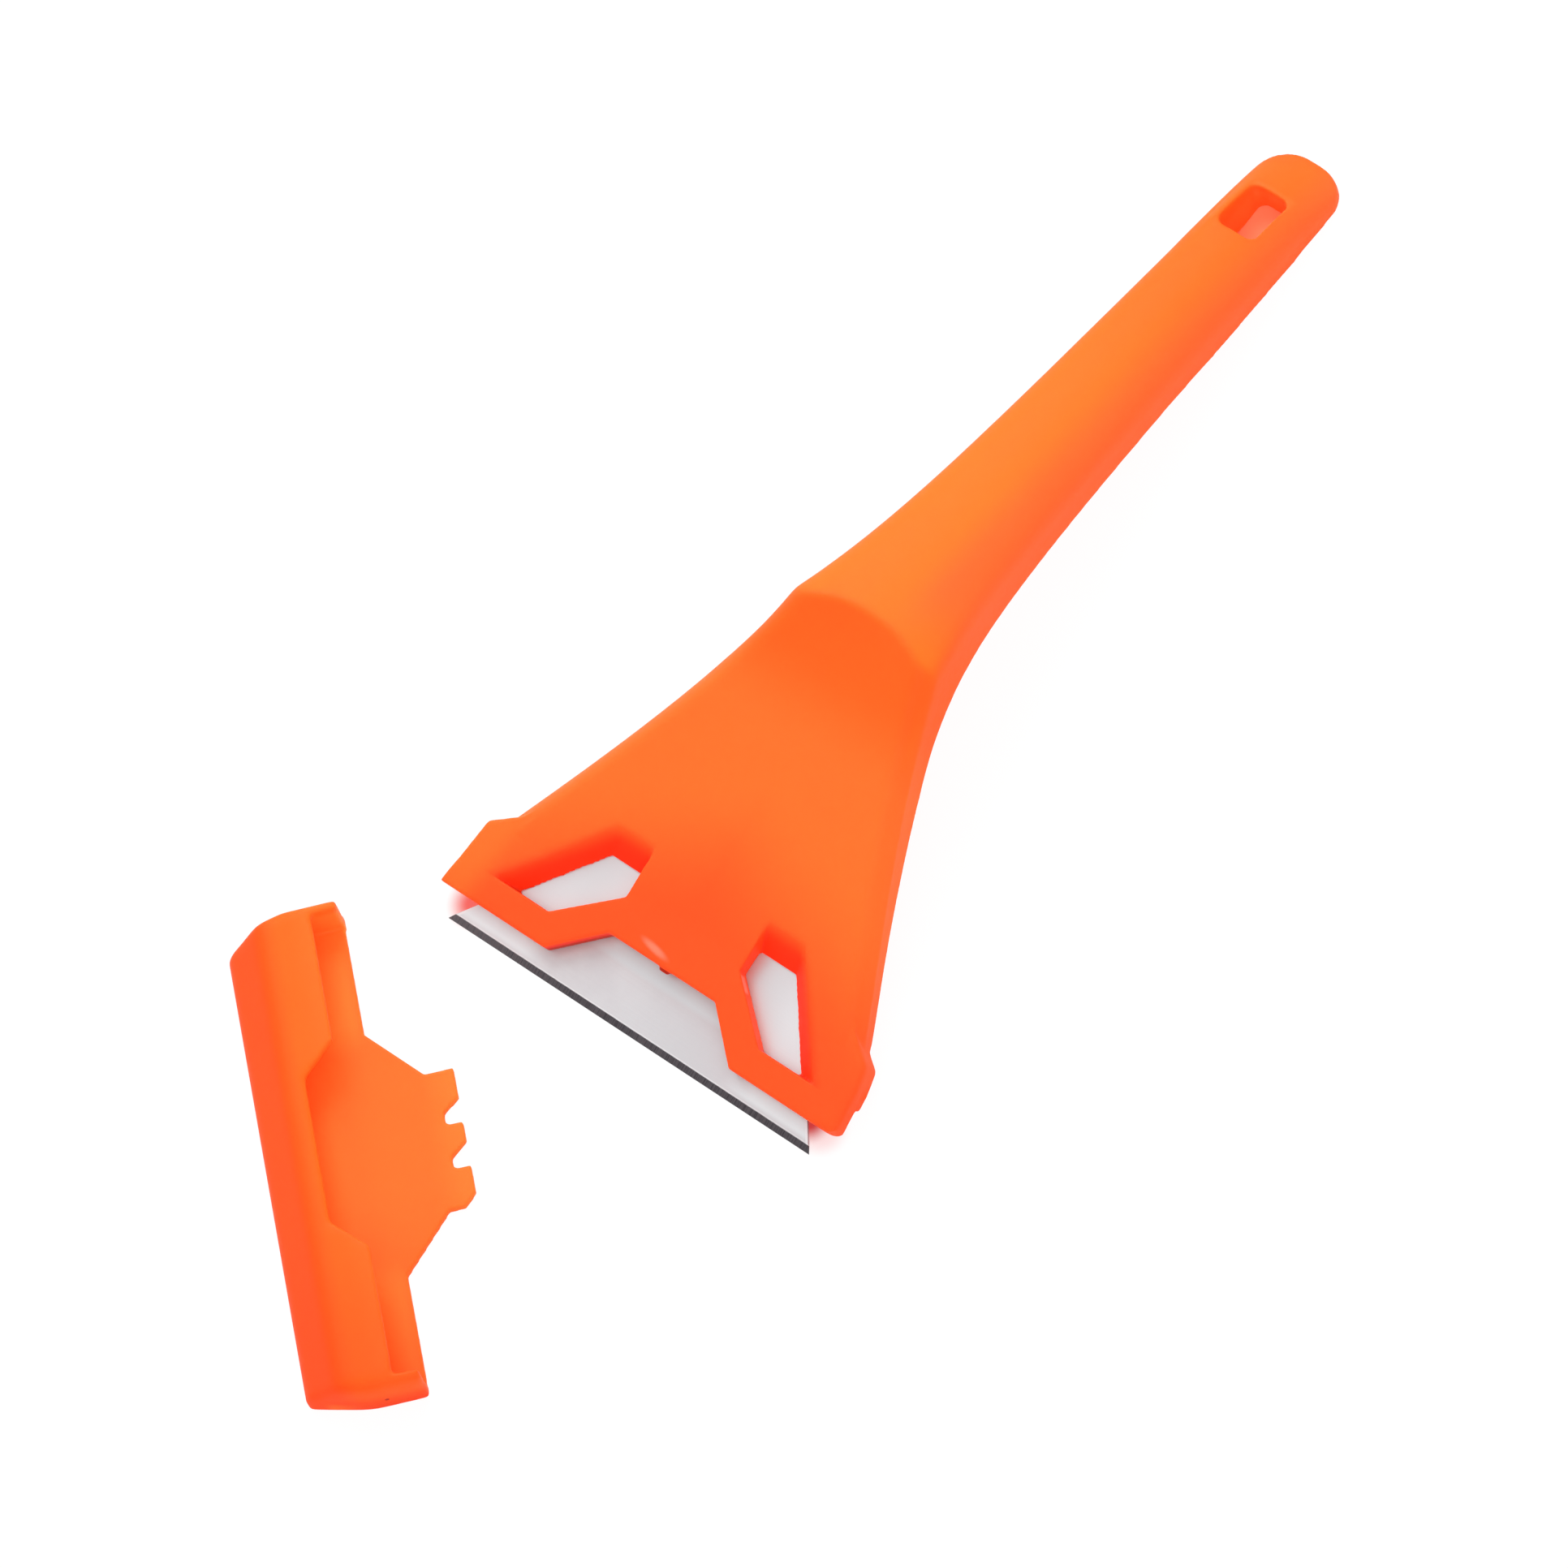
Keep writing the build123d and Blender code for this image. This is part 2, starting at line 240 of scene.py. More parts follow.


# body: painted light on the handle where it leans back to the lamp, painted shade over the blade,
# in the scoop and on the right, and painted red where the walls shine on each other.
# Each pair is a soft limit in metres; along and above are in the blade's plane, side is from
# the middle, and x, y and z are the frame's own.
bodyPlastic = {
    "handle": (0.92, 0.210, 0.018, 1),
    "tip": (0.92, 0.170, 0.015, 1),
    "rightShade": (0.92, 0.158, 0.036, 1),
    "head": (0.92, 0.184, 0.027, 1),
    "scoop": (0.92, 0.136, 0.013, 1),
    "front": (0.92, 0.097, 0.017, 1),
    "wall": (0.90, 0.030, 0.008, 1),
    "under": (0.80, 0.010, 0.004, 1),
    "contactShade": (0.20, 0.003, 0.002, 1),
    "slot": (0.95, 0.240, 0.045, 1),
    "gate": (0.22, 0.006, 0.004, 1),
    "rimLight": (1.0, 0.42, 0.32, 1),
    "paintedGlint": (1.0, 0.36, 0.24, 1),
    "headSpan": (0.018, 0.039),
    "headShift": {"side": 0.45, "right": -0.12, "leftEar": 0.010, "earSpan": (0.026, 0.031)},
    "scoopSpan": (0.044, 0.056),
    "handleSpan": (0.044, 0.050),
    "tipSpan": (0.080, 0.150),
    "rightShare": {"x": (0.0005, 0.0060), "y": (0.056, 0.070), "most": 0.85},
    "window": {
        "outerWay": (0.774, 0.633, -0.02603), "outerSpan": (-0.0012, 0.0014),
        "backLine": 0.02198, "backSpan": (-0.0012, 0.0015),
        "tongueSide": (0.0094, 0.0098),
        "slantWay": (0.6596, 0.7518), "slantSpan": (0.01765, 0.0178),
        "strapAlong": (0.0078, 0.0080),
        "above": (0.0012, 0.0062), "topFade": 0.7,
    },
    "lowEdge": {
        "above": (0.0022, 0.0031), "back": (0.0102, 0.0108), "ends": (0.0300, 0.0315),
        "strapSide": (0.0138, 0.0148), "strapBack": (0.0078, 0.0083), "contactShade": (0.0010, 0.0024),
    },
    "rim": {
        "x": ((0.0098, 0.0101), (0.0116, 0.0120)), "along": ((0.0120, 0.0135), (0.0175, 0.0190)),
        "above": ((0.0012, 0.0018), (0.0027, 0.0031)), "most": 0.55,
    },
    "hole": {
        "side": (0.0027, 0.0036), "y": ((0.1350, 0.1356), (0.1440, 0.1448)), "z": (0.0035, 0.0064),
    },
    "nub": {
        "x": 0.0003, "half": (0.0008, 0.0011), "along": ((0.0088, 0.0091), (0.00985, 0.00995)),
    },
    "glint": {
        "centre": (-0.0021, 0.0115, 0.0033), "turn": -0.17, "size": (0.0032, 0.00075, 0.0016),
        "fade": (0.2, 1.0), "most": 0.6,
    },
}


def windowShare(side, along, above, settings):
    # 1 low inside the windows, fading out towards the top of their outer and back walls
    sideWay, alongWay, offset = settings["outerWay"]
    inside = (side * sideWay + along * alongWay + offset).before(settings["outerSpan"])
    inside = inside * (along - settings["backLine"]).before(settings["backSpan"])
    inside = inside * side.past(settings["tongueSide"])
    sideWay, alongWay = settings["slantWay"]
    inside = inside * (side * sideWay + along * alongWay).past(settings["slantSpan"])
    inside = inside * along.past(settings["strapAlong"])
    return inside * (1 - above.past(settings["above"]) * settings["topFade"])


def lowEdgeShare(side, along, above, settings):
    # 1 on the lower half of the front faces, where they meet the blade
    strap = side.past(settings["strapSide"]) * along.past(settings["strapBack"])
    low = above.before(settings["above"]) * along.before(settings["back"])
    return low * side.before(settings["ends"]) * (1 - strap)


def bodyMaterial(name, settings):
    made = newMaterial(name)
    tree = made[1]
    place = objectPlace(tree)
    x, y, z = parts(place)
    flat = flatPlace(tree)
    along, above = parts(flat)[1:]
    side = abs(x)

    # painted shade: the head deepens towards the blade's edge and on the right, away from the lamp
    # at the back left, and stays lighter on the left ear
    shift = settings["headShift"]
    depth = along + side * shift["side"] + x * shift["right"]
    depth = depth + (0 - x).past(shift["earSpan"]) * shift["leftEar"]
    tone = depth.past(settings["headSpan"]).blend(settings["front"], settings["head"])
    # painted shade on the scoop, which faces away from the lamp
    tone = along.past(settings["scoopSpan"]).blend(tone, settings["scoop"])
    # painted light: faces that lean back towards the lamp take the lighter handle tone, a little
    # darker towards the tip
    handle = y.past(settings["tipSpan"]).blend(settings["handle"], settings["tip"])
    lean = place.node("ShaderNodeAttribute", {"attribute_name": "backLean"}, {}, "Fac")
    tone = (lean * y.past(settings["handleSpan"])).blend(tone, handle)
    # painted shade on the handle's right side, away from the lamp
    right = settings["rightShare"]
    right = x.past(right["x"]) * y.past(right["y"]) * right["most"]
    tone = right.blend(tone, settings["rightShade"])

    # painted shade and red light reflected between the walls, low in the windows
    window = windowShare(side, along, above, settings["window"])
    tone = window.blend(tone, settings["wall"])
    # painted shade on the lower front faces, darkest as a painted contact shadow where they meet
    # the blade
    low = lowEdgeShare(side, along, above, settings["lowEdge"])
    tone = low.blend(tone, settings["under"])
    contactShade = low * above.before(settings["lowEdge"]["contactShade"])
    tone = contactShade.blend(tone, settings["contactShade"])

    # painted highlight along the top edge of the tongue's right wall
    rim = settings["rim"]
    bright = x.within(*rim["x"]) * along.within(*rim["along"]) * above.within(*rim["above"])
    tone = (bright * rim["most"]).blend(tone, settings["rimLight"])
    # painted light: the hang slot's walls are lifted out of their shade, most low down
    hole = settings["hole"]
    hole = side.before(hole["side"]) * y.within(*hole["y"]) * z.before(hole["z"])
    tone = hole.blend(tone, settings["slot"])
    # painted shade on the gate nub under the tongue's front
    nub = settings["nub"]
    nub = abs(x - nub["x"]).before(nub["half"]) * along.within(*nub["along"])
    tone = nub.blend(tone, settings["gate"])
    # painted highlight: a small glint near the tongue's front edge
    glint = settings["glint"]
    spot = framed(flat, glint["centre"], glint["turn"], glint["size"])
    spot = spot.node("ShaderNodeVectorMath", {"operation": "LENGTH"}, {0: spot}, 1)
    tone = (spot.before(glint["fade"]) * glint["most"]).blend(tone, settings["paintedGlint"])
    return plasticMaterial(made, tone, place, orange)


# cover: painted shade along the spine and towards the lower end, painted light in the hollows by
# the lip and inside the end wall, lighter towards the toothed tab; x runs along the spine from the
# centre, y back from it
coverPlastic = {
    "spine": (0.92, 0.090, 0.008, 1),
    "top": (0.92, 0.160, 0.012, 1),
    "outer": (0.92, 0.180, 0.018, 1),
    "leaf": (0.95, 0.192, 0.026, 1),
    "shadeLifted": (1.00, 0.262, 0.036, 1),
    "teeth": (0.92, 0.236, 0.034, 1),
    "lower": (0.92, 0.055, 0.006, 1),
    "footShade": (0.85, 0.030, 0.004, 1),
    "dot": (0.30, 0.010, 0.006, 1),
    "centre": (-0.02668, -0.0433, 0),
    "turn": radians(-41.95),
    "topSpan": (0.0040, 0.0085),
    "outerSpan": (0.0085, 0.0125),
    "teethSpan": (0.021, 0.027),
    "leafLow": {"z": (0.0016, 0.0030), "y": (0.0020, 0.0040)},
    "leafShade": {"side": (0.0140, 0.0200), "fold": (0.0085, 0.0125), "foldShare": 0.4,
                  "end": (0.0145, 0.0165)},
    "inside": {"side": ((0.0322, 0.0330), (0.0336, 0.0341)), "y": (0.0100, 0.0120),
               "x": (0.0, 0.001), "z": (0.0055, 0.0070)},
    "lowerEnd": {"x": (0.004, 0.036), "most": 0.45},
    "footEnd": {"x": (0.0335, 0.0350), "z": (0.0010, 0.0050), "most": 0.8},
    "dotPlace": (0.0351, 0.0107, 0.0030),
    "dotSpan": (0.00022, 0.00042),
}


def coverMaterial(name, settings):
    made = newMaterial(name)
    place = objectPlace(made[1])
    own = framed(place, settings["centre"], settings["turn"])
    x, y, z = parts(own)
    side = abs(x)
    # painted shade on the spine bevel, which faces away from the lamp
    tone = y.past(settings["topSpan"]).blend(settings["spine"], settings["top"])
    tone = y.past(settings["outerSpan"]).blend(tone, settings["outer"])

    leaf = y.past(settings["teethSpan"]).blend(settings["leaf"], settings["teeth"])
    # painted light: the leaf is lifted where it lies in the shade of the lip and the end walls
    shade = settings["leafShade"]
    fold = y.before(shade["fold"]) * shade["foldShare"]
    shadeLifted = side.past(shade["side"]).larger(fold) * y.before(shade["end"])
    leaf = shadeLifted.blend(leaf, settings["shadeLifted"])
    low = settings["leafLow"]
    tone = (z.before(low["z"]) * y.past(low["y"])).blend(tone, leaf)

    # painted light on the inside of the end wall, in its shade
    inside = settings["inside"]
    inside = (side.within(*inside["side"]) * y.past(inside["y"])
              * x.before(inside["x"]) * z.before(inside["z"]))
    tone = inside.blend(tone, settings["shadeLifted"])
    # painted shade towards the lower end, darkest at its foot by the table
    lower = settings["lowerEnd"]
    tone = (x.past(lower["x"]) * lower["most"]).blend(tone, settings["lower"])
    footShade = settings["footEnd"]
    footShade = x.past(footShade["x"]) * z.before(footShade["z"]) * footShade["most"]
    tone = footShade.blend(tone, settings["footShade"])
    spot = own.node("ShaderNodeVectorMath", {"operation": "DISTANCE"},
                    {0: own, 1: settings["dotPlace"]}, 1)
    tone = spot.before(settings["dotSpan"]).blend(tone, settings["dot"])
    return plasticMaterial(made, tone, place, orange)


# blade steel: cloudy rolled faces and a dark ground strip along the edge, with painted reflection
# that darkens to the right and pales near the plastic
steel = {
    "face": (0.76, 0.755, 0.77, 1),
    "cloud": (0.63, 0.62, 0.64, 1),
    "right": (0.58, 0.565, 0.585, 1),
    "ground": (0.047, 0.039, 0.047, 1),
    "scratch": (0.125, 0.114, 0.124, 1),
    "groundLeft": (0.125, 0.115, 0.125, 1),
    "underWindows": (0.67, 0.73, 0.75, 1),
    "beforeStraps": (0.86, 0.95, 0.97, 1),
    "edgeBright": (0.90, 0.89, 0.90, 1),
    "strip": 0.00095,
    "stripEdge": 0.00004,
    "wobbleNoise": (900, 2.0),
    "wobble": 0.00008,
    "cloudNoise": (110, 5.0, 0.6),
    "cloudSpan": (0.38, 0.66),
    "smudgeNoise": (34, 3.0, 0.6),
    "smudgeSpan": (0.40, 0.65),
    "cloudShares": (0.6, 0.4),  # of the clouds and of the smudges
    "rolledStretch": (60, 2600, 60),
    "rolledNoise": (1.0, 2.0),
    "rolledSpan": (0.3, 0.9),
    "rolledShare": 0.25,
    "lineStretch": (5600, 260, 260),
    "lineTurn": (0, 0, 0.12),
    "lineNoise": (1.0, 3.0),
    "lineSpan": (0.34, 0.68),
    "lineShare": 0.6,
    "rightSpan": (-0.026, 0.014),
    "rightShare": 0.75,
    "strapSide": (0.0140, 0.0200),
    "strapBack": (0.0008, 0.0020),
    "windowBack": (0.0070, 0.0080),
    "besideShare": 0.8,
    "endWay": (0.0305, 0.747, 0.801),  # half the edge, the ends' slant and its measure
    "endRim": ((0.00006, 0.00012), (0.00025, 0.00040)),
    "stripRim": ((0.00098, 0.00104), (0.00108, 0.00120)),
    "stripRimShare": 0.6,
    "rimShare": 0.8,
    "leftSpan": (-0.033, -0.004),
    "leftShares": (0.6, 0.4),  # plain and in the lines
    "faceRoughness": 0.38,
    "cloudRoughness": 0.10,
    "rolledRoughness": 0.10,
    "groundRoughness": 0.42,
    "lineRoughness": 0.3,
    "relief": (0.25, 0.00003),
    "metal": 0.5,
}


def steelMaterial(name, settings):
    material, tree, out = newMaterial(name)
    flat = flatPlace(tree)
    x, back = parts(flat)[:2]  # along the edge and back from it
    side = abs(x)
    wobble = (noise(flat, *settings["wobbleNoise"]) - 0.5) * settings["wobble"]
    middle, edge = settings["strip"], settings["stripEdge"]
    strip = (back + wobble).before((middle - edge, middle + edge))
    clouds = noise(flat, *settings["cloudNoise"]).past(settings["cloudSpan"])
    smudges = noise(flat, *settings["smudgeNoise"]).past(settings["smudgeSpan"])
    rolled = noise(stretched(flat, settings["rolledStretch"]), *settings["rolledNoise"])
    lines = stretched(flat, settings["lineStretch"], settings["lineTurn"])
    lines = noise(lines, *settings["lineNoise"]).past(settings["lineSpan"])

    ofClouds, ofSmudges = settings["cloudShares"]
    cloudy = clouds * ofClouds + smudges * ofSmudges
    tone = cloudy.blend(settings["face"], settings["cloud"])
    rolledShare = rolled.past(settings["rolledSpan"]) * settings["rolledShare"]
    tone = rolledShare.blend(tone, settings["cloud"])
    # painted reflection: the steel face darkens towards the right
    rightShare = x.past(settings["rightSpan"]) * settings["rightShare"]
    tone = rightShare.blend(tone, settings["right"])
    # painted light: paler, bluer steel before the straps and under the windows, in place of the
    # plastic's red reflection and shade
    straps = side.past(settings["strapSide"]) * back.past(settings["strapBack"])
    tone = (straps * settings["besideShare"]).blend(tone, settings["beforeStraps"])
    windows = back.past(settings["windowBack"])
    tone = (windows * settings["besideShare"]).blend(tone, settings["underWindows"])

    # lighter lines along the slanted ends and behind the ground strip
    half, slant, measure = settings["endWay"]
    inward = (half - back * slant - side) * measure
    rim = back.within(*settings["stripRim"]) * settings["stripRimShare"]
    rim = inward.within(*settings["endRim"]).larger(rim)
    tone = (rim * settings["rimShare"]).blend(tone, settings["edgeBright"])

    ground = (lines * settings["lineShare"]).blend(settings["ground"], settings["scratch"])
    plain, lined = settings["leftShares"]
    leftShare = x.before(settings["leftSpan"]) * (plain + lines * lined)
    ground = leftShare.blend(ground, settings["groundLeft"])
    tone = strip.blend(tone, ground)

    rough = settings["faceRoughness"] + clouds * settings["cloudRoughness"]
    rough = (1 - strip) * (rough + (rolled - 0.5) * settings["rolledRoughness"])
    groundRough = settings["groundRoughness"] + (lines - 0.5) * settings["lineRoughness"]
    rough = rough + strip * groundRough
    relief = bumps(rolled * (1 - strip) + lines * strip, settings["relief"])
    made = flat.node("ShaderNodeBsdfPrincipled", {}, {
        "Base Color": tone, "Roughness": rough, "Normal": relief, "Metallic": settings["metal"]})
    tree.links.new(made.socket, out.inputs["Surface"])
    return material


# moulded pieces: the CAD solids with the soft edges that a mould leaves
smoothing = {"merge": 0.000002, "factor": 0.5, "leastShare": 0.01}


def onlySelect(piece):
    bpy.ops.object.select_all(action="DESELECT")
    piece.select_set(True)
    bpy.context.view_layer.objects.active = piece


def copyOfNode(node, name):
    piece = bpy.data.objects.new(name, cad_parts[node].data.copy())
    bpy.context.scene.collection.objects.link(piece)
    onlySelect(piece)
    bpy.ops.object.mode_set(mode="EDIT")
    bpy.ops.mesh.select_all(action="SELECT")
    bpy.ops.mesh.remove_doubles(threshold=smoothing["merge"])
    bpy.ops.object.mode_set(mode="OBJECT")
    return piece


def applied(piece, kind, **settings):
    onlySelect(piece)
    modifier = piece.modifiers.new(kind.lower(), kind)
    for name, value in settings.items():
        setattr(modifier, name, value)
    bpy.ops.object.modifier_apply(modifier=modifier.name)


def softened(node, name, settings):
    # remeshed finely and smoothed, more so where each of the rounds gives points a share
    piece = copyOfNode(node, name)
    applied(piece, "REMESH", mode="VOXEL", voxel_size=settings["grain"], use_smooth_shade=True)
    applied(piece, "SMOOTH", factor=smoothing["factor"], iterations=settings["passes"])
    for title, (softness, times) in settings["rounds"].items():
        group = piece.vertex_groups.new(name=title)
        for point in piece.data.vertices:
            share = softness(point.co)
            if share > smoothing["leastShare"]:
                group.add([point.index], share, "REPLACE")
        applied(piece, "SMOOTH", factor=smoothing["factor"], iterations=times,
                vertex_group=title)
    piece.vertex_groups.clear()
    share = settings["triangles"] / (2 * len(piece.data.polygons))
    if share < 1:
        applied(piece, "DECIMATE", ratio=share)
    for face in piece.data.polygons:
        face.use_smooth = True
    return piece


def rise(value, span):
    # 0 up to the start of the span, 1 from its end on
    return min(1.0, max(0.0, (value - span[0]) / (span[1] - span[0])))


def fall(value, span):
    return 1 - rise(value, span)


def fromLine(x, y, start, end):
    # distance in plan from a stretch of line
    way = Vector(end) - Vector(start)
    share = (Vector((x, y)) - Vector(start)).dot(way) / way.length_squared
    share = min(1.0, max(0.0, share))
    return (Vector((x, y)) - Vector(start) - way * share).length


def headPlace(y, z):
    # along the blade's plane, and above the steel
    return y * cos(headTilt) + z * sin(headTilt), z * cos(headTilt) - y * sin(headTilt)


def coverPlace(point):
    # along the cover's spine from its centre, and back from it
    turn = coverPlastic["turn"]
    x, y = point[0] - coverPlastic["centre"][0], point[1] - coverPlastic["centre"][1]
    return x * cos(turn) + y * sin(turn), y * cos(turn) - x * sin(turn)


# where the body's mould is soft, and where it is rounder still
bodyEdges = {
    "headEnd": 0.030,
    "earStart": 0.0295,
    "window": {"walls": ((0.0268, 0.0088), (0.0158, 0.0220), (0.0108, 0.0220)),
               "reach": (0.0014, 0.0026), "above": (0.0016, 0.0024), "along": (0.0088, 0.0100)},
    "ear": {"side": (0.0295, 0.0305), "above": (0.0010, 0.0018), "leftAlong": (0.0060, 0.0075)},
    "ridge": {"height": 0.016, "y": ((0.050, 0.055), (0.062, 0.068)), "share": 0.5},
    "slot": {"y": (0.133, 0.147), "side": 0.0052, "height": 0.0045, "left": (0.0010, 0.0020),
             "back": (0.1425, 0.1435), "z": (0.0040, 0.0050)},
    "roundEar": {"x": (0.0288, 0.0305), "share": 0.4},
    "shoulders": {"y": (0.046, 0.052), "share": 0.5},
    "flank": {"x": (0.0240, 0.0280), "share": 0.4},
    "besideSlot": {"side": 0.0065, "y": ((0.1290, 0.1320), (0.1470, 0.1480))},
    "lift": (0.0030, 0.0050),
}


def bodySoftness(point):
    # window rims, ears, ridge and hang slot
    x, y, z = point
    along, above = headPlace(y, z)
    side = abs(x)
    window, ear = bodyEdges["window"], bodyEdges["ear"]
    ridge, slot = bodyEdges["ridge"], bodyEdges["slot"]
    if along < bodyEdges["headEnd"]:
        if side > bodyEdges["earStart"]:
            left = rise(along, ear["leftAlong"]) if x < 0 else 1.0
            return rise(side, ear["side"]) * rise(above, ear["above"]) * left
        if above > window["above"][0] and along > window["along"][0]:
            outer, corner, inner = window["walls"]
            edge = min(fromLine(side, along, outer, corner), fromLine(side, along, corner, inner))
            soft = rise(above, window["above"]) * fall(edge, window["reach"])
            return soft * rise(along, window["along"])
    elif ridge["y"][0][0] < y < ridge["y"][1][1] and z > ridge["height"]:
        start, end = ridge["y"]
        return ridge["share"] * rise(y, start) * fall(y, end)
    elif slot["y"][0] < y < slot["y"][1] and side < slot["side"] and z > slot["height"]:
        return max(rise(-x, slot["left"]), rise(y, slot["back"])) * rise(z, slot["z"])
    return 0.0


def bodyRoundness(point):
    # the right ear and flank, the ridge, the handle's shoulders
    x, y, z = point
    ear, flank, shoulders = bodyEdges["roundEar"], bodyEdges["flank"], bodyEdges["shoulders"]
    beside = bodyEdges["besideSlot"]
    if headPlace(y, z)[0] < bodyEdges["headEnd"]:
        return ear["share"] * rise(x, ear["x"])
    share = max(shoulders["share"] * rise(y, shoulders["y"]), flank["share"] * rise(x, flank["x"]))
    if abs(x) < beside["side"]:
        start, end = beside["y"]
        share *= 1 - rise(y, start) * fall(y, end)
    return share * rise(z, bodyEdges["lift"])


rightWaist = {"depth": 0.00050, "start": (0.0105, 0.0150), "end": (0.0150, 0.0330),
              "x": (0.0240, 0.0320)}


def bentIn(piece, settings):
    # the right flank has a slight waist just behind the ear
    for point in piece.data.vertices:
        along = headPlace(point.co.y, point.co.z)[0]
        share = rise(along, settings["start"]) * fall(along, settings["end"])
        point.co.x -= settings["depth"] * share * rise(point.co.x, settings["x"])


hangSlot = {"lean": 0.0008, "left": ((0.0008, 0.0020), (0.0032, 0.0050)), "z": (0.0015, 0.0065),
            "y": ((0.1335, 0.1360), (0.1438, 0.1460))}


def slotOpened(piece, settings):
    # the hang slot's left wall leans out towards the top
    (leftStart, leftEnd), (start, end) = settings["left"], settings["y"]
    for point in piece.data.vertices:
        x, y, z = point.co
        share = rise(-x, leftStart) * fall(-x, leftEnd) * rise(z, settings["z"])
        point.co.x -= settings["lean"] * share * rise(y, start) * fall(y, end)


tipArch = {"start": 0.1434, "length": 0.0085, "bulge": 2.3, "slice": 0.0005,
           "squareX": (0.0, 0.0020), "squareZ": (0.0008, 0.0040)}


def endRounded(piece, settings):
    # the handle ends in a fuller arch than its corners alone give, but for the right corner
    # on the table
    start, bulge = settings["start"], settings["bulge"]
    half = max(point.co.x for point in piece.data.vertices
               if abs(point.co.y - start) < settings["slice"])
    for point in piece.data.vertices:
        x, y, z = point.co
        back = y - start
        if back > 0:
            size = (abs(x) / half) ** bulge + (back / settings["length"]) ** bulge
            if size > 1:
                square = rise(x, settings["squareX"]) * fall(z, settings["squareZ"])
                share = (1 - square) * (1 - size ** (-1 / bulge))
                point.co.x -= x * share
                point.co.y -= back * share


tipCorner = {"reach": 0.0005, "y": (0.1410, 0.1500), "x": (0.0, 0.0050)}


def pulledOut(piece, settings):
    # the handle's right end corner stands out a little more than the left one
    for point in piece.data.vertices:
        share = rise(point.co.y, settings["y"]) * rise(point.co.x, settings["x"])
        point.co.x += settings["reach"] * share


frontCorner = {"centre": (0.0312, 0.00565), "radius": 0.0020}


def cornerRounded(piece, settings):
    # the right front corner of the head is rounded off in plan
    centre, radius = settings["centre"], settings["radius"]
    for point in piece.data.vertices:
        x, y, z = point.co
        along, above = headPlace(y, z)
        off = Vector((x - centre[0], along - centre[1]))
        if off.x > 0 and off.y < 0 and off.length > radius:
            off *= radius / off.length
            along = centre[1] + off.y
            point.co = (centre[0] + off.x, along * cos(headTilt) - above * sin(headTilt),
                        along * sin(headTilt) + above * cos(headTilt))


# where the cover's mould is soft, and where it is rounder still
coverEdges = {
    "fold": (0.0085, 0.0110),
    "ends": (0.0300, 0.0325),
    "lip": (0.0145, 0.0160),
    "lipShare": 0.4,
    "z": (0.0014, 0.0024),
    "lowerEnd": (0.0325, 0.0340),
    "topZ": (0.0030, 0.0045),
    "topBack": (0.0070, 0.0085),
    "topShare": 0.6,
}


def coverSoftness(point):
    # the folds and the end caps, and less so the cut edge of the lip
    along, back = coverPlace(point)
    soft = max(fall(back, coverEdges["fold"]), rise(abs(along), coverEdges["ends"]),
               coverEdges["lipShare"] * fall(back, coverEdges["lip"]))
    return soft * rise(point[2], coverEdges["z"])


def coverRoundness(point):
    # the lower end, and the top of the spine
    along, back = coverPlace(point)
    top = rise(point[2], coverEdges["topZ"]) * fall(back, coverEdges["topBack"])
    return max(rise(along, coverEdges["lowerEnd"]), coverEdges["topShare"] * top)


marking = {"wearGain": 4, "leanY": (-0.08, 0.10), "leanZ": (0.30, 0.75), "leanPasses": 60}


def spread(piece, values, passes):
    # evens values out over the surface, from point to point along the edges
    ends = numpy.empty(2 * len(piece.data.edges), dtype=numpy.int32)
    piece.data.edges.foreach_get("vertices", ends)
    first, second = ends[::2], ends[1::2]
    count = len(values)
    links = numpy.maximum(1, numpy.bincount(ends, minlength=count))
    for turn in range(passes):
        total = numpy.bincount(first, values[second], count)
        total = total + numpy.bincount(second, values[first], count)
        values = (values + total / links) / 2
    return values


def markSurface(piece, settings):
    # each point keeps how sharply it stands out, where rubbing shows, and how far it leans back
    shape = bmesh.new()
    shape.from_mesh(piece.data)
    shape.normal_update()
    wear = [0.0] * len(shape.verts)
    lean = [0.0] * len(shape.verts)
    for point in shape.verts:
        ways = [(edge.other_vert(point).co - point.co).normalized() for edge in point.link_edges]
        sharp = -sum(way.dot(point.normal) for way in ways) / max(1, len(ways))
        wear[point.index] = min(1.0, settings["wearGain"] * max(0.0, sharp))
        lean[point.index] = (rise(point.normal.y, settings["leanY"])
                             * rise(point.normal.z, settings["leanZ"]))
    shape.free()
    lean = spread(piece, numpy.array(lean), settings["leanPasses"])
    for title, values in (("edgeWear", wear), ("backLean", lean)):
        stored = piece.data.attributes.new(title, "FLOAT", "POINT")
        stored.data.foreach_set("value", values)


def finish(piece, material, node, body):
    piece.data.materials.clear()
    piece.data.materials.append(material)
    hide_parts(node)
    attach(piece, body)


bodySoftening = {"grain": 0.00017, "passes": 10, "triangles": 190000,
                 "rounds": {"soft": (bodySoftness, 42), "round": (bodyRoundness, 200)}}

mouldedBody = softened("scraper_body", "mouldedBody", bodySoftening)
bentIn(mouldedBody, rightWaist)
slotOpened(mouldedBody, hangSlot)
endRounded(mouldedBody, tipArch)
pulledOut(mouldedBody, tipCorner)
cornerRounded(mouldedBody, frontCorner)
markSurface(mouldedBody, marking)
finish(mouldedBody, bodyMaterial("orangePlastic", bodyPlastic),
       "scraper_body", "scraper")
print("body", len(mouldedBody.data.polygons))

coverSoftening = {"grain": 0.00018, "passes": 6, "triangles": 120000,
                  "rounds": {"soft": (coverSoftness, 70), "round": (coverRoundness, 120)}}

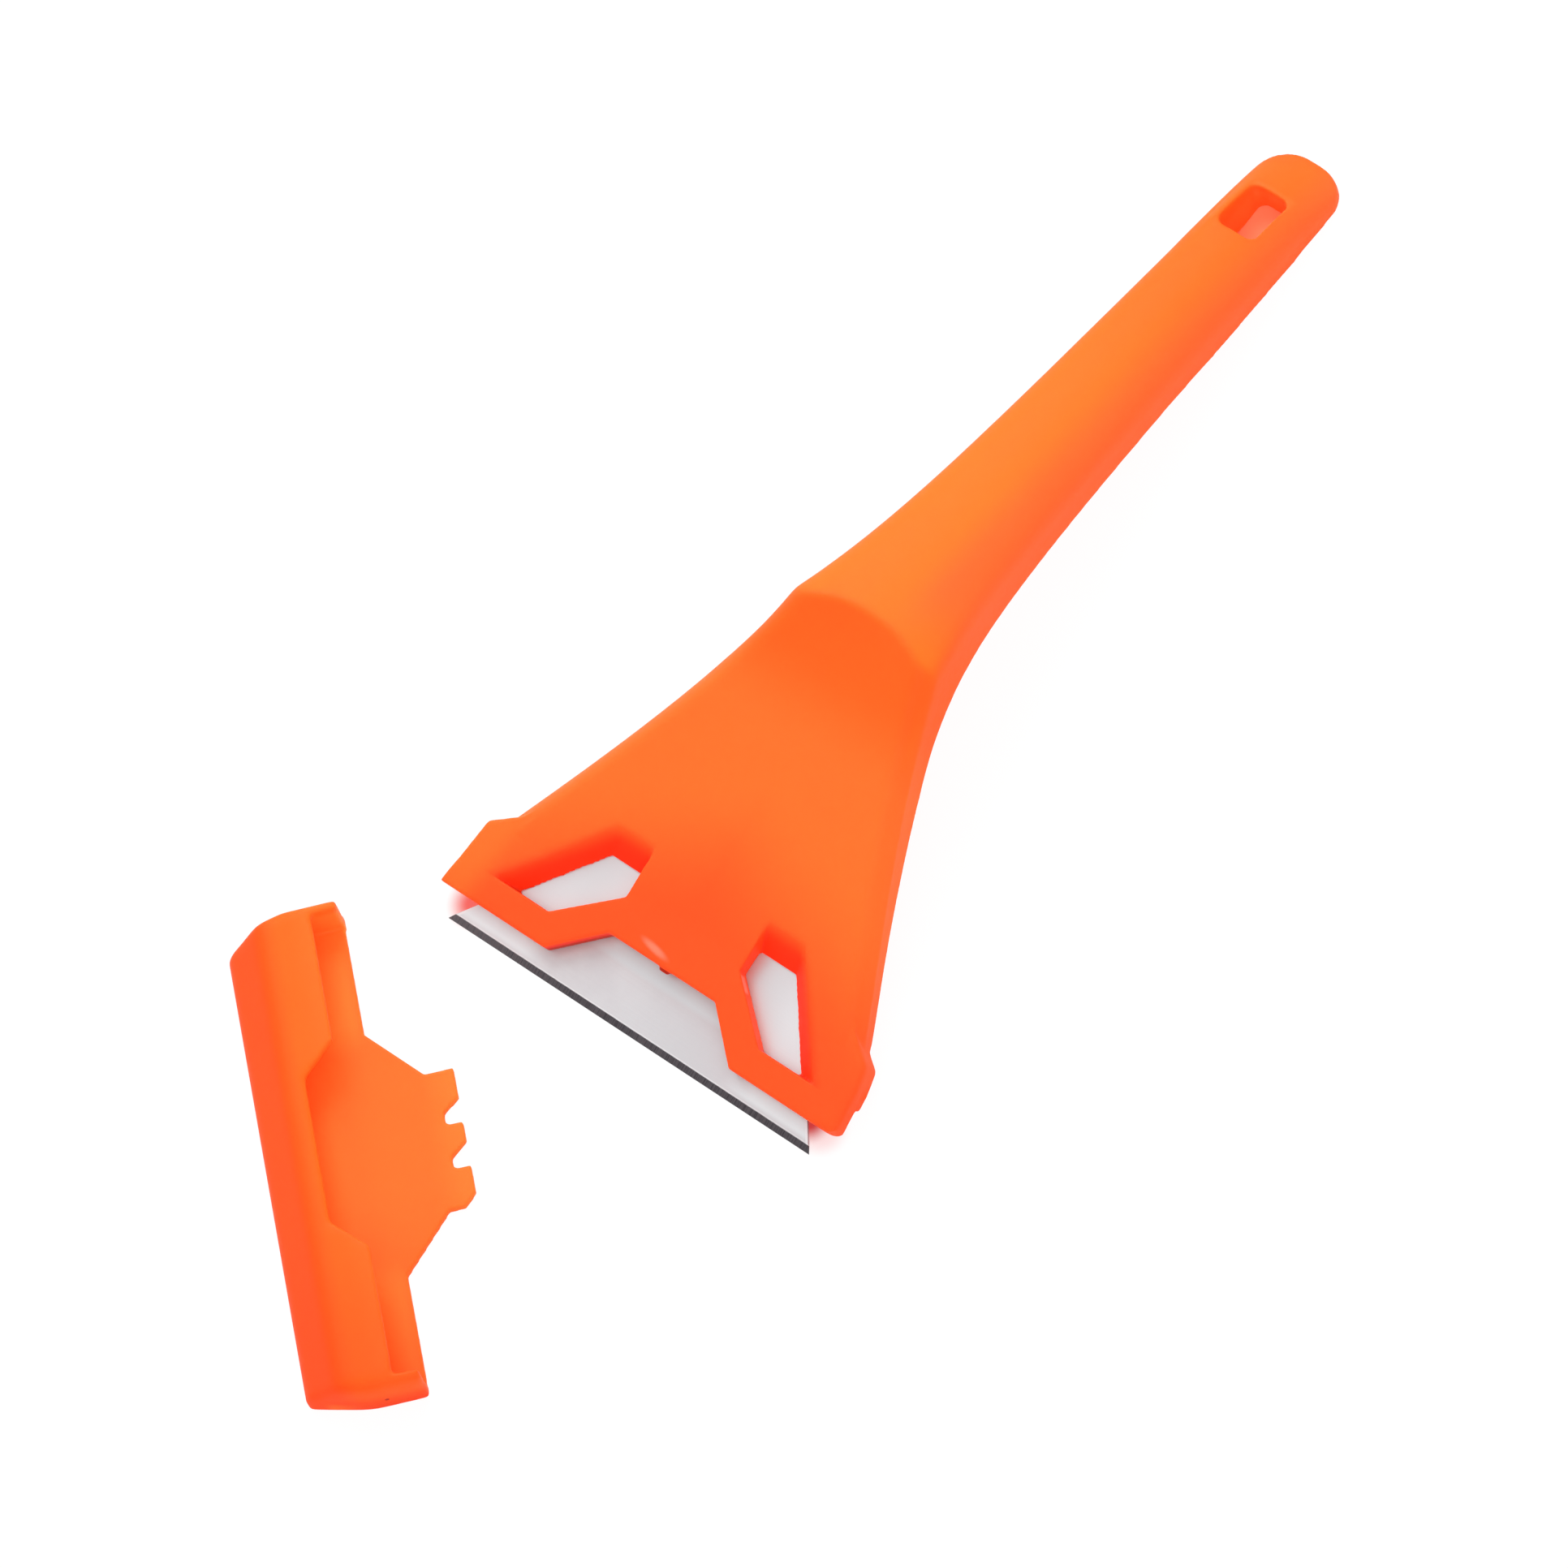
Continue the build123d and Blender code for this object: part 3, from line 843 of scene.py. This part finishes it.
mouldedCover = softened("blade_cover", "mouldedCover", coverSoftening)
markSurface(mouldedCover, marking)
finish(mouldedCover, coverMaterial("orangeCoverPlastic", coverPlastic),
       "blade_cover", "cover")
print("cover", len(mouldedCover.data.polygons))

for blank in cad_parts["blade"].material_slots:
    blank.material = steelMaterial("bladeSteel", steel)
print("blade")


# studio: white table, white surroundings and a broad lamp from behind the handle; each glow is
# painted red light and tinted shadow on the table, given as a centre, an inner and an outer
# radius, a colour and how much of the plain white it hides
studio = {
    "floor": (0.93, 0.93, 0.93, 1),
    "floorSize": 6.0,
    "floorRoughness": 0.8,
    "floorGloss": 0.2,
    "plain": (1, 1, 1, 1),
    "plainStrength": 1.05,
    "plainShare": 0.90,
    "sky": 0.60,
    "glows": {
        "leftEar": ((-0.0287, 0.0036, 0), 0.0010, 0.0044, (0.93, 0.15, 0.13, 1), 0.0),
        "rightEarEdge": ((0.0296, 0.0036, 0), 0.0014, 0.0044, (0.97, 0.74, 0.74, 1), 0.0),
        "rightEar": ((0.0278, 0.0037, 0), 0.0006, 0.0034, (0.62, 0.05, 0.05, 1), 0.0),
        "hangSlot": ((0.0, 0.1400, 0), 0.0046, 0.0060, (1.0, 0.66, 0.38, 1), 1.0),
    },
    "lampAim": (0, 0.04, 0),
    "lamps": {
        "key": {"place": (-0.90, 0.75, 1.15), "size": 1.1, "watts": 13.5, "colour": (1, 1, 1)},
        "fill": {"place": (0.9, -0.5, 1.3), "size": 1.4, "watts": 4.0, "colour": (1, 1, 1)},
    },
}


def floorMaterial(settings):
    # white paper, near plain white to the camera, with painted red light and tinted shadow where
    # light comes through the plastic
    material, tree, out = newMaterial("tableWhite")
    place = objectPlace(tree)
    seen = place.node("ShaderNodeLightPath", {}, {}, "Is Camera Ray")
    share = seen * settings["plainShare"]
    tone, tint = settings["floor"], settings["plain"]
    # painted glows: red light and tinted shadow by the ears and on the table under the hang slot
    for centre, inner, outer, colour, hidden in settings["glows"].values():
        away = place.node("ShaderNodeVectorMath", {"operation": "DISTANCE"},
                          {0: place, 1: centre}, 1).past((inner, outer))
        share = share * (1 - (1 - away) * hidden)
        tone, tint = away.blend(colour, tone), away.blend(colour, tint)
    backdrop = place.node("ShaderNodeEmission", {}, {
        "Color": tint, "Strength": settings["plainStrength"]})
    paper = place.node("ShaderNodeBsdfPrincipled", {}, {
        "Base Color": tone, "Roughness": settings["floorRoughness"],
        "Specular IOR Level": settings["floorGloss"]})
    made = place.node("ShaderNodeMixShader", {}, {0: share, 1: paper, 2: backdrop})
    tree.links.new(made.socket, out.inputs["Surface"])
    return material


def addRoom(settings):
    world = bpy.data.worlds.new("studioRoom")
    bpy.context.scene.world = world
    world.use_nodes = True
    tree = world.node_tree
    tree.nodes.clear()
    seen = Wire(tree).node("ShaderNodeLightPath", {}, {}, "Is Camera Ray")
    mirrored = Wire(tree).node("ShaderNodeLightPath", {}, {}, "Is Glossy Ray")
    bright = seen.larger(mirrored)
    room = bright.node("ShaderNodeBackground", {}, {
        "Color": settings["plain"],
        "Strength": bright * (1 - settings["sky"]) + settings["sky"]})
    out = tree.nodes.new("ShaderNodeOutputWorld")
    tree.links.new(room.socket, out.inputs["Surface"])


def addLamp(name, lamp, aim):
    data = bpy.data.lights.new(name, "AREA")
    data.energy = lamp["watts"]
    data.size = lamp["size"]
    data.color = lamp["colour"]
    light = bpy.data.objects.new(name, data)
    light.location = lamp["place"]
    light.rotation_euler = (Vector(lamp["place"]) - Vector(aim)).to_track_quat("Z", "Y").to_euler()
    bpy.context.scene.collection.objects.link(light)


def addStudio(settings):
    bpy.ops.object.select_all(action="DESELECT")
    bpy.ops.mesh.primitive_plane_add(size=settings["floorSize"], location=(0, 0, 0))
    floor = bpy.context.object
    floor.name = "tableTop"
    floor.data.materials.append(floorMaterial(settings))
    addRoom(settings)
    for name, lamp in settings["lamps"].items():
        addLamp(name, lamp, settings["lampAim"])


addStudio(studio)
print("studio")
